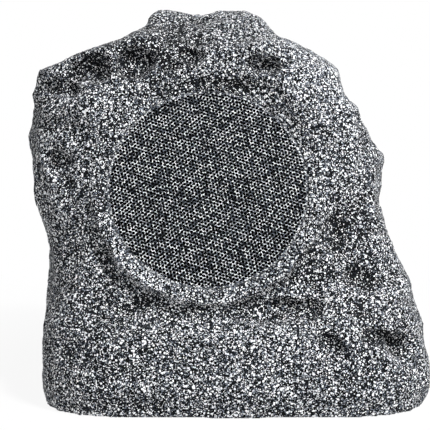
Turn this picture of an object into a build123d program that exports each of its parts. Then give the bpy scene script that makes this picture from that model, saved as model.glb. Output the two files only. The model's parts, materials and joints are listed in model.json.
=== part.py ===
from build123d import *

import math
import os

# Rock shaped garden speaker: a hollow moulded rock with a round perforated grille in its front face.
# A coaxial driver sits behind the grille, a crossover stands on the base plate that closes the foot,
# and a cable gland goes through the rear wall.
# Millimetres, +Z up. The grille looks towards -Y, and the origin is on the floor, mid-way across the foot.

# Rock body
rock_width = 355.0
rock_height = 339.0
rock_depth = 290.0
rock_wall = 12.0
chip_depth = 5.0
rock_corners = 24
rock_squareness = 5.0

# The rock's girth, from the foot up: height as a share of rock_height, then how far it reaches to the left
# and right as shares of half of rock_width, and to the front and back as shares of half of rock_depth.
rock_girth = [
    (0.000, 0.885, 0.985, 0.970, 0.950),
    (0.065, 0.900, 1.000, 1.000, 0.980),
    (0.195, 0.910, 0.985, 0.950, 1.000),
    (0.248, 0.920, 0.960, 0.815, 0.990),
    (0.307, 0.900, 0.905, 0.755, 0.980),
    (0.380, 0.885, 0.865, 0.740, 0.950),
    (0.495, 0.950, 0.793, 0.715, 0.900),
    (0.605, 0.995, 0.820, 0.665, 0.840),
    (0.650, 1.000, 0.770, 0.645, 0.810),
    (0.737, 0.955, 0.700, 0.610, 0.760),
    (0.765, 0.970, 0.620, 0.600, 0.735),
    (0.826, 0.945, 0.585, 0.565, 0.675),
    (0.876, 0.735, 0.485, 0.460, 0.580),
    (0.917, 0.490, 0.310, 0.345, 0.470),
    (0.947, 0.390, 0.245, 0.255, 0.390),
    (1.000, 0.340, 0.120, 0.055, 0.250),
]

# Forms on the rock's face are placed by height as a share of rock_height and by place across as a share of
# the rock's half width there. Brows stand forward of the face: half width, half height and reach.
rock_brows = [
    (0.870, -0.760, 34.0, 15.0, 13.0),
    (0.905, -0.480, 24.0, 13.0, 13.0),
    (0.735, -0.580, 34.0, 16.0, 6.0),
    (0.875, 0.450, 30.0, 13.0, 7.0),
    (0.270, 0.560, 26.0, 14.0, 6.0),
    (0.255, 0.830, 22.0, 16.0, 5.0),
]

# Pits sunk into the face: radius of the mouth and depth. Neighbours run into each other.
rock_pits = [
    (0.852, -0.390, 13.0, 7.0),
    (0.842, -0.320, 9.0, 6.0),
    (0.836, -0.600, 13.0, 7.0),
    (0.826, -0.690, 9.0, 5.0),
    (0.786, -0.740, 9.0, 5.0),
    (0.782, -0.850, 9.0, 4.0),
    (0.598, -0.790, 13.0, 8.0),
    (0.575, -0.750, 9.0, 6.0),
    (0.867, -0.015, 9.0, 5.0),
    (0.835, -0.110, 10.0, 4.0),
    (0.841, 0.420, 8.0, 5.0),
    (0.836, 0.510, 9.0, 6.0),
    (0.440, 0.630, 13.0, 4.0),
    (0.400, 0.645, 12.0, 4.0),
    (0.328, 0.700, 11.0, 5.0),
    (0.312, 0.750, 9.0, 5.0),
    (0.257, 0.160, 9.0, 4.0),
    (0.255, 0.240, 10.0, 5.0),
    (0.257, 0.320, 9.0, 5.0),
    (0.256, 0.400, 9.0, 5.0),
    (0.185, 0.445, 9.0, 6.0),
    (0.170, 0.480, 8.0, 5.0),
    (0.193, 0.690, 9.0, 5.0),
    (0.184, 0.760, 10.0, 6.0),
    (0.172, 0.820, 8.0, 5.0),
]

# Grille, and the well in the rock that it drops into
grille_height = 181.0
grille_across = -13.5
grille_setback = 51.0
grille_lean = 15.0
grille_radius = 83.5
grille_sheet = 1.0
grille_skirt = 9.5
hole_pitch = 9.0
hole_width = 6.0
hole_turn = -18.0
scrim_thickness = 0.6
fit_gap = 0.3
grille_border = 3.5
lip_flare = 11.0
lip_height = 5.0
lip_shoulder = 8.0
crease_width = 10.0
crease_depth = 8.0
crease_start = -165.0
crease_arc = 80.0

# Driver: flange, seat and fixings
flange_radius = 77.5
flange_thickness = 1.5
flange_screws = 4
gasket_thickness = 2.0
gasket_width = 6.0
travel_room = 2.9
baffle_thickness = 11.0
cutout_radius = 71.0

# Driver: moving parts
cone_radius = 53.5
cone_depth = 22.0
cone_thickness = 1.0
lip_width = 3.5
roll_radius = 5.0
surround_thickness = 0.8
cone_travel = 4.0
coil_radius = 12.75
former_thickness = 0.25
coil_thickness = 0.5
coil_height = 12.0
air_gap = 0.35

# Driver: basket, spider and magnet
basket_thickness = 1.5
basket_depth = 35.0
basket_windows = 6
shelf_drop = 27.3
shelf_radius = 45.0
shelf_width = 8.0
strip_width = 26.0
strip_length = 20.0
strip_thickness = 1.5
tag_width = 5.0
tag_length = 12.0
tag_thickness = 0.8
spider_thickness = 0.6
spider_wave = 1.5
spider_waves = 4
plate_radius = 36.0
plate_thickness = 6.0
magnet_radius = 40.0
magnet_bore = 17.0
magnet_thickness = 16.0

# Tweeter on its post
post_radius = 4.5
post_bolt = 3.0
post_bore = 2.0
nut_width = 10.0
nut_height = 5.0
tweeter_radius = 17.0
tweeter_wall = 1.5
tweeter_depth = 15.5
tweeter_floor = 2.5
tweeter_ring_thickness = 3.1
tweeter_magnet_radius = 9.5
tweeter_magnet_thickness = 5.0
tweeter_pole_thickness = 2.5
tweeter_front = 6.5
dome_radius = 10.0
dome_rise = 3.0
dome_film = 0.4

# Base plate, its seal and the rim of the foot
rim_width = 10.0
rim_height = 12.0
ledge_width = 20.0
base_thickness = 6.0
base_gasket_thickness = 2.0
base_screws_count = 8
boss_radius = 4.0
boss_height = 8.0

# Screws
screw_radius = 1.5
screw_head = 3.6
screw_head_height = 2.4
screw_length = 13.0

# Crossover
board_length = 90.0
board_width = 60.0
board_thickness = 1.6
board_across = -13.0
board_back = 40.0
board_hole_inset = 5.0
inductor_radius = 17.0
inductor_height = 16.0
inductor_bore = 7.0
inductor_cheek = 1.5
woofer_can_radius = 8.0
woofer_can_height = 25.0
film_size = (20.0, 10.0, 16.0)
resistor_size = (24.0, 9.0, 9.0)
block_size = (22.0, 10.0, 11.0)
block_poles = 4

# Cable gland in its niche at the back
gland_height = 42.0
niche_radius = 18.0
niche_depth = 24.0
niche_wall = 8.0
cable_radius = 3.5
gland_thread = 6.0
seal_wall = 1.4
seal_length = 8.0
gland_hex = 17.0
gland_flange = 5.0
gland_neck = 8.0
gland_shank = 16.0
gland_cap_length = 15.0
locknut_height = 5.0

# Leads
lead_radius = 1.0
lead_spacing = 14.0
twin_lead_radius = 1.5

# Places worked out from the sizes above
lean = math.radians(grille_lean)
grille_centre = Vector(grille_across, grille_setback - rock_depth / 2, grille_height)
outward = Vector(0, -math.cos(lean), math.sin(lean))
across = Vector(1, 0, 0)
front_plane = Plane(origin=grille_centre, x_dir=across, z_dir=outward)
turning_plane = Plane(origin=grille_centre, x_dir=across, z_dir=across.cross(outward))
driver_axis = Axis(grille_centre, outward)
crease_side = across.rotate(driver_axis, crease_start)
crease_plane = Plane(origin=grille_centre, x_dir=crease_side, z_dir=crease_side.cross(outward))

well_radius = grille_radius + fit_gap
roll_front = -(grille_sheet + scrim_thickness + travel_room + cone_travel)
flange_front = roll_front - roll_radius
gasket_front = flange_front - flange_thickness
seat_level = gasket_front - gasket_thickness
screw_circle = (flange_radius + cutout_radius) / 2
surround_outer = screw_circle - screw_head - fit_gap
roll_outer = cone_radius + 2 * roll_radius
roll_middle = cone_radius + roll_radius
cone_slope = cone_depth / (cone_radius - lip_width - coil_radius)
cone_drop = cone_thickness * math.hypot(1, cone_slope)
plate_front = gasket_front - basket_depth
shelf_front = gasket_front - shelf_drop
shelf_back = shelf_front - basket_thickness
strip_middle = -(shelf_radius + strip_length / 4)
strip_back = shelf_back - strip_thickness
tag_middle = strip_middle - (strip_length - tag_length) / 2
magnet_front = plate_front - plate_thickness
back_plate_front = magnet_front - magnet_thickness
back_plate_back = back_plate_front - plate_thickness
former_inner = coil_radius - former_thickness
pole_radius = former_inner - air_gap
plate_bore = coil_radius + coil_thickness + air_gap
coil_middle = plate_front - plate_thickness / 2
former_length = flange_front - cone_depth - coil_middle + coil_height / 2
post_end = back_plate_back - nut_height - 1
tweeter_back = -tweeter_front - tweeter_depth
dome_front = -tweeter_front - tweeter_ring_thickness
cup_front = dome_front - dome_film
base_top = rim_height - base_gasket_thickness
base_bottom = base_top - base_thickness
board_bottom = base_top + boss_height
board_top = board_bottom + board_thickness
hole_x = board_length / 2 - board_hole_inset
hole_y = board_width / 2 - board_hole_inset
board_holes = [(board_across + x, board_back + y) for x in (-hole_x, hole_x) for y in (-hole_y, hole_y)]
inductor_place = (board_across - 27, board_back + 5)
block_place = (board_across, board_back + 24)
screw_clear = screw_radius + 0.7
screw_pilot = screw_radius + 0.1


def girth_at(height):
    """How far the rock reaches to the left, right, front and back at a height above the floor."""
    share = min(max(height / rock_height, 0.0), 1.0)
    for lower, upper in zip(rock_girth, rock_girth[1:]):
        if share <= upper[0]:
            break
    along = (share - lower[0]) / (upper[0] - lower[0])
    left, right, front, back = (a + (b - a) * along for a, b in zip(lower[1:], upper[1:]))
    return left * rock_width / 2, right * rock_width / 2, front * rock_depth / 2, back * rock_depth / 2


def oval(angle):
    """A point on a squarish unit oval."""
    power = 2 / rock_squareness
    x, y = math.cos(angle), math.sin(angle)
    return math.copysign(abs(x) ** power, x), math.copysign(abs(y) ** power, y)


def face_at(height, share):
    """A place on the rock's front face, given its height and its share of the half width there."""
    left, right, front, back = girth_at(height)
    fall = (1 - abs(share) ** rock_squareness) ** (1 / rock_squareness)
    x = (right - left) / 2 + (right + left) / 2 * share
    return Vector(x, (back - front) / 2 - (back + front) / 2 * fall, height)


def brow_reach(x, height):
    """How far the brows stand forward at a place across and up."""
    reach = 0.0
    for level, share, half_width, half_height, most in rock_brows:
        middle = face_at(level * rock_height, share)
        away = ((x - middle.X) / half_width) ** 2 + ((height - middle.Z) / half_height) ** 2
        reach += most * math.exp(-away)
    return reach


def rock_section(height, inset=0.0, row=None):
    """Corners of the rock's outline at a height. A row number chips them, turns them and adds the brows."""
    left, right, front, back = girth_at(height)
    middle_x, middle_y = (right - left) / 2, (back - front) / 2
    half_x, half_y = (right + left) / 2 - inset, (back + front) / 2 - inset
    corners = []
    for corner in range(rock_corners):
        turn, chip = 0.0, 0.0
        if row is not None and corner % (rock_corners // 4):
            turn = 0.3 * math.sin(1.7 * row + 2.3 * corner)
            chip = chip_depth * math.sin(2.4 * corner + 0.7 * row) ** 2
        x, y = oval(2 * math.pi * (corner + turn) / rock_corners)
        keep = 1 - chip / math.hypot(x * half_x, y * half_y)
        x, y = middle_x + x * half_x * keep, middle_y + y * half_y * keep
        if row is not None and y < middle_y:
            y -= brow_reach(x, height)
        corners.append((x, y))
    return corners


def turned(*outline):
    """Turns a closed outline of (radius, height above the grille) points about the driver's axis."""
    with BuildSketch(turning_plane) as profile:
        with BuildLine():
            Polyline(*outline, close=True)
        make_face()
    revolve(profile.sketch, axis=driver_axis)


def ring(level, outer, inner, thickness):
    """A flat ring square to the driver's axis, from a level outwards or, if negative, inwards."""
    with BuildSketch(front_plane.offset(level)) as profile:
        Circle(outer)
        if inner:
            Circle(inner, mode=Mode.SUBTRACT)
    extrude(profile.sketch, amount=thickness)


def lead_path(*points):
    """A lead's line: straight runs with the roundest arcs that they leave room for."""
    radii = []
    for before, here, after in zip(points, points[1:], points[2:]):
        into, out = Vector(*here) - Vector(*before), Vector(*after) - Vector(*here)
        turn = math.radians(into.get_angle(out))
        radii.append(0.45 * min(into.length, out.length) / math.tan(turn / 2))
    return FilletPolyline(*points, radius=radii)


def driver_point(x, y, level):
    """A place given across, up the face and out of the face, seen from the grille's middle."""
    return grille_centre + across * x + front_plane.y_dir * y + outward * level


# Middles of the grille's holes: a staggered pattern, turned on the sheet, that stops short of the edge
hole_points = []
hole_rows = int(grille_radius / hole_pitch * 2)
for row in range(-hole_rows, hole_rows + 1):
    for column in range(-hole_rows, hole_rows + 1):
        place = Vector((column + row / 2) * hole_pitch, row * hole_pitch * math.sqrt(3) / 2, 0)
        if place.length < grille_radius - grille_border - hole_width / 2:
            place = place.rotate(Axis.Z, hole_turn)
            hole_points.append((place.X, place.Y))

# Top line of the spider: a collar at the coil, waves, and a landing on the basket's shelf
spider_inner = coil_radius + 2 * fit_gap
spider_step = (shelf_radius - shelf_width - spider_inner - 2) / (2 * spider_waves)
spider_level = shelf_front + spider_thickness
spider_top = [(spider_inner, spider_level)]
for wave in range(2 * spider_waves + 1):
    spider_top.append((spider_inner + 2 + wave * spider_step, spider_level + spider_wave * (wave % 2)))
spider_top.append((shelf_radius - 1, spider_level))

# Rock shell: chiselled outside, hollow inside, with a flat baffle behind the grille's well
rock_back = girth_at(gland_height)[3]
niche_floor = rock_back - niche_depth
gland_x = (girth_at(gland_height)[1] - girth_at(gland_height)[0]) / 2
gland_plane = Plane(origin=(gland_x, niche_floor, gland_height), x_dir=(-1, 0, 0), z_dir=(0, 1, 0))

with BuildSketch() as screw_line:
    Polygon(*rock_section(0), align=None)
    offset(amount=-(rim_width + ledge_width / 2), kind=Kind.INTERSECTION)
rim_edges = screw_line.edges().sort_by(lambda edge: math.atan2((edge @ 0.5).Y, (edge @ 0.5).X))
base_screw_middles = [edge @ 0.5 for edge in rim_edges[:: rock_corners // base_screws_count]]
base_screw_points = [(point.X, point.Y) for point in base_screw_middles]

with BuildPart() as rock_shell:
    for row, girth in enumerate(rock_girth):
        level = girth[0] * rock_height
        with BuildSketch(Plane.XY.offset(level)):
            Polygon(*rock_section(level, row=row if row > 1 else None), align=None)
    loft(ruled=True)
    with BuildSketch(Plane.XY.offset(rim_height)):
        Polygon(*rock_section(rim_height, inset=rim_width + ledge_width), align=None)
    for girth in rock_girth[2:-1]:
        level = girth[0] * rock_height
        with BuildSketch(Plane.XY.offset(level)):
            Polygon(*rock_section(level, inset=rock_wall + chip_depth), align=None)
    loft(ruled=True, mode=Mode.SUBTRACT)
    with BuildSketch():
        Polygon(*rock_section(0), align=None)
        offset(amount=-rim_width, kind=Kind.INTERSECTION)
    extrude(amount=rim_height, mode=Mode.SUBTRACT)
    with BuildSketch(Plane.XY.offset(rim_height)):
        with Locations(*base_screw_points):
            Circle(screw_pilot)
    extrude(amount=screw_length, mode=Mode.SUBTRACT)
    with BuildSketch(turning_plane):
        with BuildLine():
            Polyline(
                (0, seat_level - baffle_thickness),
                (well_radius + lip_flare, seat_level - baffle_thickness),
                (well_radius + lip_flare + lip_shoulder, -lip_shoulder),
                (well_radius + lip_flare + 1, lip_height),
                (0, lip_height),
                close=True,
            )
        make_face()
    revolve(axis=driver_axis)
    with BuildSketch(turning_plane):
        with BuildLine():
            Polyline(
                (0, seat_level - baffle_thickness),
                (cutout_radius, seat_level - baffle_thickness),
                (cutout_radius, seat_level),
                (flange_radius + 1, seat_level),
                (flange_radius + 1, -grille_skirt),
                (well_radius, -grille_skirt),
                (well_radius, 0),
                (well_radius + lip_flare, lip_height),
                (well_radius + 3 * lip_flare, 3 * lip_height),
                (0, 3 * lip_height),
                close=True,
            )
        make_face()
    revolve(axis=driver_axis, mode=Mode.SUBTRACT)
    with BuildSketch(front_plane.offset(seat_level)):
        with PolarLocations(screw_circle, flange_screws, start_angle=45):
            Circle(screw_pilot)
    extrude(amount=-(screw_length - gasket_thickness - flange_thickness), mode=Mode.SUBTRACT)
    with BuildSketch(crease_plane):
        with BuildLine():
            Polyline(
                (well_radius + lip_flare + lip_shoulder / 2, 3 * lip_height),
                (well_radius + lip_flare + lip_shoulder / 2, -crease_depth),
                (well_radius + lip_flare + lip_shoulder / 2 + crease_width, 3 * lip_height),
                close=True,
            )
        make_face()
    revolve(axis=driver_axis, revolution_arc=crease_arc, mode=Mode.SUBTRACT)
    for level, share, mouth, depth in rock_pits:
        ball = (mouth**2 + depth**2) / (2 * depth)
        with Locations(face_at(level * rock_height, share) - Vector(0, ball - depth, 0)):
            Sphere(ball, mode=Mode.SUBTRACT)
    with BuildSketch(gland_plane.offset(-niche_wall)):
        Circle(niche_radius + niche_wall)
    extrude(amount=niche_wall + niche_depth / 2)
    with BuildSketch(gland_plane):
        Circle(niche_radius)
    extrude(amount=2 * niche_depth, mode=Mode.SUBTRACT)
    with BuildSketch(gland_plane):
        Circle(gland_thread + fit_gap)
    extrude(amount=-niche_wall, mode=Mode.SUBTRACT)

# Foot: plate, seal and screws
with BuildPart() as base_plate:
    with BuildSketch(Plane.XY.offset(base_bottom)):
        Polygon(*rock_section(0), align=None)
        offset(amount=-(rim_width + fit_gap), kind=Kind.INTERSECTION)
        with Locations(*base_screw_points):
            Circle(screw_clear, mode=Mode.SUBTRACT)
    extrude(amount=base_thickness)
    with BuildSketch(Plane.XY.offset(base_top)):
        with Locations(*board_holes):
            Circle(boss_radius)
    extrude(amount=boss_height)
    with BuildSketch(Plane.XY.offset(board_bottom)):
        with Locations(*board_holes):
            Circle(screw_pilot)
    extrude(amount=-boss_height, mode=Mode.SUBTRACT)

with BuildPart() as base_gasket:
    with BuildSketch(Plane.XY.offset(base_top)) as seal_outline:
        Polygon(*rock_section(0), align=None)
        offset(amount=-(rim_width + fit_gap), kind=Kind.INTERSECTION)
        Polygon(*rock_section(rim_height, inset=rim_width + ledge_width), align=None, mode=Mode.SUBTRACT)
        with Locations(*base_screw_points):
            Circle(screw_clear, mode=Mode.SUBTRACT)
    extrude(amount=base_gasket_thickness)

with BuildPart() as base_screws:
    with BuildSketch(Plane.XY.offset(base_bottom)):
        with Locations(*base_screw_points):
            Circle(screw_head)
    extrude(amount=-screw_head_height)
    with BuildSketch(Plane.XY.offset(base_bottom)):
        with Locations(*base_screw_points):
            Circle(screw_radius)
    extrude(amount=base_thickness + base_gasket_thickness + screw_length - 1)

# Grille: sheet with a turned back skirt. The real sheet has 2 mm holes on 3 mm centres; here they are
# drawn as fewer, larger six-sided holes on the same turned pattern.
with BuildPart() as grille:
    turned(
        (0, 0),
        (grille_radius - grille_sheet, 0),
        (grille_radius, -grille_sheet),
        (grille_radius, -grille_skirt),
        (grille_radius - grille_sheet, -grille_skirt),
        (grille_radius - grille_sheet, -grille_sheet),
        (0, -grille_sheet),
    )
    with BuildSketch(front_plane):
        with Locations(*hole_points):
            RegularPolygon(hole_width / 2, 6, rotation=hole_turn)
    extrude(amount=-grille_sheet, mode=Mode.SUBTRACT)

with BuildPart() as grille_scrim:
    ring(-grille_sheet, grille_radius - grille_sheet - fit_gap, 0, -scrim_thickness)

# Driver: seal, frame and fixings
with BuildPart() as driver_gasket:
    ring(seat_level, flange_radius, flange_radius - gasket_width, gasket_thickness)
    with BuildSketch(front_plane.offset(seat_level)):
        with PolarLocations(screw_circle, flange_screws, start_angle=45):
            Circle(screw_clear)
    extrude(amount=gasket_thickness, mode=Mode.SUBTRACT)

with BuildPart() as basket:
    turned(
        (flange_radius, gasket_front),
        (flange_radius, flange_front),
        (roll_outer - basket_thickness, flange_front),
        (shelf_radius, shelf_front),
        (shelf_radius - shelf_width, shelf_front),
        (plate_radius - 2 * basket_thickness, plate_front + basket_thickness),
        (plate_bore + basket_thickness, plate_front + basket_thickness),
        (plate_bore + basket_thickness, plate_front),
        (plate_radius, plate_front),
        (shelf_radius - shelf_width + basket_thickness, shelf_back),
        (shelf_radius + basket_thickness, shelf_back),
        (roll_outer, gasket_front),
    )
    with BuildSketch(front_plane.offset(gasket_front)):
        with PolarLocations(screw_circle, flange_screws, start_angle=45):
            Circle(screw_clear)
    extrude(amount=flange_thickness, mode=Mode.SUBTRACT)
    with BuildSketch(front_plane.offset(shelf_front + basket_thickness)):
        Circle(roll_outer - 2 * basket_thickness)
        Circle(shelf_radius + 2 * basket_thickness, mode=Mode.SUBTRACT)
        with PolarLocations(0, basket_windows, start_angle=30):
            Rectangle(
                flange_radius,
                8 * basket_thickness,
                align=(Align.MIN, Align.CENTER),
                mode=Mode.SUBTRACT,
            )
    extrude(amount=shelf_drop - 3 * basket_thickness, mode=Mode.SUBTRACT)

with BuildPart() as driver_screws:
    with BuildSketch(front_plane.offset(flange_front)):
        with PolarLocations(screw_circle, flange_screws, start_angle=45):
            Circle(screw_head)
    extrude(amount=screw_head_height)
    with BuildSketch(front_plane.offset(flange_front)):
        with PolarLocations(screw_circle, flange_screws, start_angle=45):
            Circle(screw_radius)
    extrude(amount=-(screw_length - 1))
    with BuildSketch(front_plane.offset(flange_front + screw_head_height)):
        with PolarLocations(screw_circle, flange_screws, start_angle=45):
            Rectangle(screw_head, screw_radius / 2)
            Rectangle(screw_radius / 2, screw_head)
    extrude(amount=-screw_head_height / 2, mode=Mode.SUBTRACT)

# Driver: cone, its suspension and the coil
with BuildPart() as surround:
    with BuildSketch(turning_plane):
        with Locations((roll_middle, flange_front)):
            Circle(roll_radius)
            Circle(roll_radius - surround_thickness, mode=Mode.SUBTRACT)
            Rectangle(2 * roll_radius, roll_radius, align=(Align.CENTER, Align.MAX), mode=Mode.SUBTRACT)
        with Locations((roll_outer - surround_thickness, flange_front)):
            Rectangle(surround_outer - roll_outer + surround_thickness, surround_thickness, align=Align.MIN)
        with Locations((cone_radius - lip_width, flange_front)):
            Rectangle(lip_width + surround_thickness, surround_thickness, align=Align.MIN)
    revolve(axis=driver_axis)

with BuildPart() as cone:
    turned(
        (cone_radius, flange_front),
        (cone_radius - lip_width, flange_front),
        (coil_radius, flange_front - cone_depth),
        (coil_radius, flange_front - cone_depth - 3 * cone_thickness),
        (coil_radius + cone_thickness, flange_front - cone_depth - 3 * cone_thickness),
        (coil_radius + cone_thickness, flange_front - cone_depth + cone_thickness * cone_slope - cone_drop),
        (cone_radius - lip_width, flange_front - cone_drop),
        (cone_radius, flange_front - cone_drop),
    )

with BuildPart() as spider:
    turned(*spider_top, *[(radius, level - spider_thickness) for radius, level in reversed(spider_top)])

with BuildPart() as coil_former:
    ring(coil_middle - coil_height / 2, coil_radius, former_inner, former_length)

with BuildPart() as voice_coil:
    ring(coil_middle - coil_height / 2, coil_radius + coil_thickness, coil_radius, coil_height)

# Driver: motor
with BuildPart() as front_plate:
    ring(magnet_front, plate_radius, plate_bore, plate_thickness)

with BuildPart() as magnet:
    ring(back_plate_front, magnet_radius, magnet_bore, magnet_thickness)

with BuildPart() as back_plate:
    turned(
        (post_bolt + fit_gap, back_plate_back),
        (plate_radius, back_plate_back),
        (plate_radius, back_plate_front),
        (pole_radius, back_plate_front),
        (pole_radius, plate_front),
        (post_bolt + fit_gap, plate_front),
    )

with BuildPart() as terminal_strip:
    with BuildSketch(front_plane.offset(shelf_back)):
        with Locations((0, strip_middle)):
            Rectangle(strip_width, strip_length)
    extrude(amount=-strip_thickness)

with BuildPart() as terminal_tags:
    with BuildSketch(front_plane.offset(strip_back)):
        with Locations((-lead_spacing / 2, tag_middle), (lead_spacing / 2, tag_middle)):
            Rectangle(tag_width, tag_length)
    extrude(amount=-tag_thickness)

# Tweeter on a hollow post through the pole
with BuildPart() as tweeter_post:
    turned(
        (post_bore, tweeter_back),
        (post_radius, tweeter_back),
        (post_radius, plate_front),
        (post_bolt, plate_front),
        (post_bolt, post_end),
        (post_bore, post_end),
    )

with BuildPart() as post_nut:
    with BuildSketch(front_plane.offset(back_plate_back)):
        RegularPolygon(nut_width / 2, 6, major_radius=False)
        Circle(post_bolt + fit_gap, mode=Mode.SUBTRACT)
    extrude(amount=-nut_height)

with BuildPart() as tweeter_cup:
    turned(
        (post_bore, tweeter_back),
        (tweeter_radius, tweeter_back),
        (tweeter_radius, cup_front),
        (tweeter_radius - tweeter_wall, cup_front),
        (tweeter_radius - tweeter_wall, tweeter_back + tweeter_floor),
        (post_bore, tweeter_back + tweeter_floor),
    )

with BuildPart() as tweeter_magnet:
    ring(tweeter_back + tweeter_floor, tweeter_magnet_radius, 0, tweeter_magnet_thickness)

with BuildPart() as tweeter_pole:
    ring(
        tweeter_back + tweeter_floor + tweeter_magnet_thickness,
        tweeter_magnet_radius - fit_gap,
        0,
        tweeter_pole_thickness,
    )

with BuildPart() as tweeter_dome:
    with BuildSketch(turning_plane):
        with BuildLine():
            TangentArc((0, cup_front + dome_rise + dome_film), (dome_radius, dome_front), tangent=(1, 0))
            Polyline(
                (dome_radius, dome_front),
                (tweeter_radius - tweeter_wall / 3, dome_front),
                (tweeter_radius - tweeter_wall / 3, cup_front),
                (dome_radius - dome_film, cup_front),
            )
            TangentArc((0, cup_front + dome_rise), (dome_radius - dome_film, cup_front), tangent=(1, 0))
            Line((0, cup_front + dome_rise), (0, cup_front + dome_rise + dome_film))
        make_face()
    revolve(axis=driver_axis)

with BuildPart() as tweeter_ring:
    turned(
        (dome_radius + fit_gap, dome_front),
        (tweeter_radius, dome_front),
        (tweeter_radius, -tweeter_front - tweeter_ring_thickness / 3),
        (tweeter_radius - tweeter_wall, -tweeter_front),
        (dome_radius + 2 * tweeter_wall, -tweeter_front),
        (dome_radius + fit_gap, dome_front + tweeter_ring_thickness / 3),
    )

# Crossover on the base plate
with BuildPart() as crossover_board:
    with BuildSketch(Plane.XY.offset(board_bottom)):
        with Locations((board_across, board_back)):
            Rectangle(board_length, board_width)
        with Locations(*board_holes):
            Circle(screw_clear, mode=Mode.SUBTRACT)
    extrude(amount=board_thickness)

with BuildPart() as board_screws:
    with BuildSketch(Plane.XY.offset(board_top)):
        with Locations(*board_holes):
            Circle(screw_head)
    extrude(amount=screw_head_height)
    with BuildSketch(Plane.XY.offset(board_top)):
        with Locations(*board_holes):
            Circle(screw_radius)
    extrude(amount=-(board_thickness + boss_height - 1))

with BuildPart() as inductor_bobbin:
    with BuildSketch(Plane.XY.offset(board_top)):
        with Locations(inductor_place):
            Circle(inductor_radius)
            Circle(inductor_bore - inductor_cheek, mode=Mode.SUBTRACT)
    extrude(amount=inductor_cheek)
    with BuildSketch(Plane.XY.offset(board_top)):
        with Locations(inductor_place):
            Circle(inductor_bore)
            Circle(inductor_bore - inductor_cheek, mode=Mode.SUBTRACT)
    extrude(amount=inductor_height)
    with BuildSketch(Plane.XY.offset(board_top + inductor_height - inductor_cheek)):
        with Locations(inductor_place):
            Circle(inductor_radius)
            Circle(inductor_bore - inductor_cheek, mode=Mode.SUBTRACT)
    extrude(amount=inductor_cheek)

with BuildPart() as inductor_coil:
    with BuildSketch(Plane.XY.offset(board_top + inductor_cheek)):
        with Locations(inductor_place):
            Circle(inductor_radius - inductor_cheek)
            Circle(inductor_bore + fit_gap, mode=Mode.SUBTRACT)
    extrude(amount=inductor_height - 2 * inductor_cheek)

with BuildPart() as woofer_capacitor:
    with BuildSketch(Plane.XY.offset(board_top)):
        with Locations((board_across + 18, board_back)):
            Circle(woofer_can_radius)
    extrude(amount=woofer_can_height)
    chamfer(woofer_capacitor.faces().sort_by(Axis.Z)[-1].edges(), 1)

with BuildPart() as tweeter_capacitor:
    with BuildSketch(Plane.XY.offset(board_top)):
        with Locations((board_across + 24, board_back + 20)):
            Rectangle(film_size[0], film_size[1])
    extrude(amount=film_size[2])

with BuildPart() as resistor:
    with BuildSketch(Plane.XY.offset(board_top)):
        with Locations((board_across + 23, board_back - 15)):
            Rectangle(resistor_size[0], resistor_size[1])
    extrude(amount=resistor_size[2])

with BuildPart() as input_block:
    with BuildSketch(Plane.XY.offset(board_top)):
        with Locations(block_place):
            Rectangle(block_size[0], block_size[1])
    extrude(amount=block_size[2])
    with BuildSketch(Plane.XY.offset(board_top + block_size[2])):
        with Locations(block_place):
            with GridLocations(block_size[0] / block_poles, 1, block_poles, 1):
                Circle(block_size[0] / block_poles / 3)
    extrude(amount=-block_size[2] / 3, mode=Mode.SUBTRACT)

# Leads from the crossover to the driver
with BuildPart() as woofer_leads:
    for side in (-lead_spacing / 2, lead_spacing / 2):
        start = driver_point(side, tag_middle, strip_back - tag_thickness)
        away = driver_point(side, tag_middle, strip_back - tag_thickness - 22)
        landing = Vector(start.X, board_back - 22, board_top)
        with BuildLine() as lead_line:
            lead_path(start, away, away + Vector(0, 38, -24), landing + Vector(0, 0, 36), landing)
        with BuildSketch(Plane(origin=start, x_dir=across, z_dir=-outward)):
            Circle(lead_radius)
        sweep(path=lead_line.wires()[0])

with BuildPart() as tweeter_lead:
    lead_start = driver_point(0, 0, tweeter_back + tweeter_floor)
    lead_away = driver_point(0, 0, post_end - 26)
    twin_landing = Vector(lead_start.X, board_back + 12, board_top)
    with BuildLine() as twin_line:
        lead_path(
            lead_start,
            lead_away,
            lead_away + Vector(0, 25, -18),
            twin_landing + Vector(0, -2, 88),
            twin_landing + Vector(0, 0, 43),
            twin_landing,
        )
    with BuildSketch(Plane(origin=lead_start, x_dir=across, z_dir=-outward)):
        Circle(twin_lead_radius)
    sweep(path=twin_line.wires()[0])

# Cable gland through the floor of the niche
with BuildPart() as gland_body:
    with BuildSketch(gland_plane):
        RegularPolygon(gland_hex / 2, 6, major_radius=False)
    extrude(amount=gland_flange)
    with BuildSketch(gland_plane.offset(-gland_shank)):
        Circle(gland_thread)
    extrude(amount=gland_shank + gland_flange + gland_neck)
    with BuildSketch(gland_plane.offset(-gland_shank)):
        Circle(cable_radius + fit_gap)
    extrude(amount=gland_shank + gland_flange + gland_neck, mode=Mode.SUBTRACT)
    with BuildSketch(gland_plane.offset(gland_flange + 1)):
        Circle(cable_radius + seal_wall + fit_gap / 3)
    extrude(amount=gland_neck, mode=Mode.SUBTRACT)

with BuildPart() as gland_seal:
    with BuildSketch(gland_plane.offset(gland_flange + 1)):
        Circle(cable_radius + seal_wall)
        Circle(cable_radius, mode=Mode.SUBTRACT)
    extrude(amount=seal_length)

with BuildPart() as gland_cap:
    with BuildSketch(gland_plane.offset(gland_flange + fit_gap)):
        Circle(gland_hex / 2)
    extrude(amount=gland_cap_length)
    fillet(gland_cap.faces().sort_by(Axis.Y)[-1].edges(), 2)
    with BuildSketch(gland_plane.offset(gland_flange + fit_gap)):
        Circle(gland_thread + fit_gap)
    extrude(amount=1 + seal_length - fit_gap, mode=Mode.SUBTRACT)
    with BuildSketch(gland_plane):
        Circle(cable_radius + fit_gap)
    extrude(amount=2 * gland_cap_length, mode=Mode.SUBTRACT)

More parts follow.
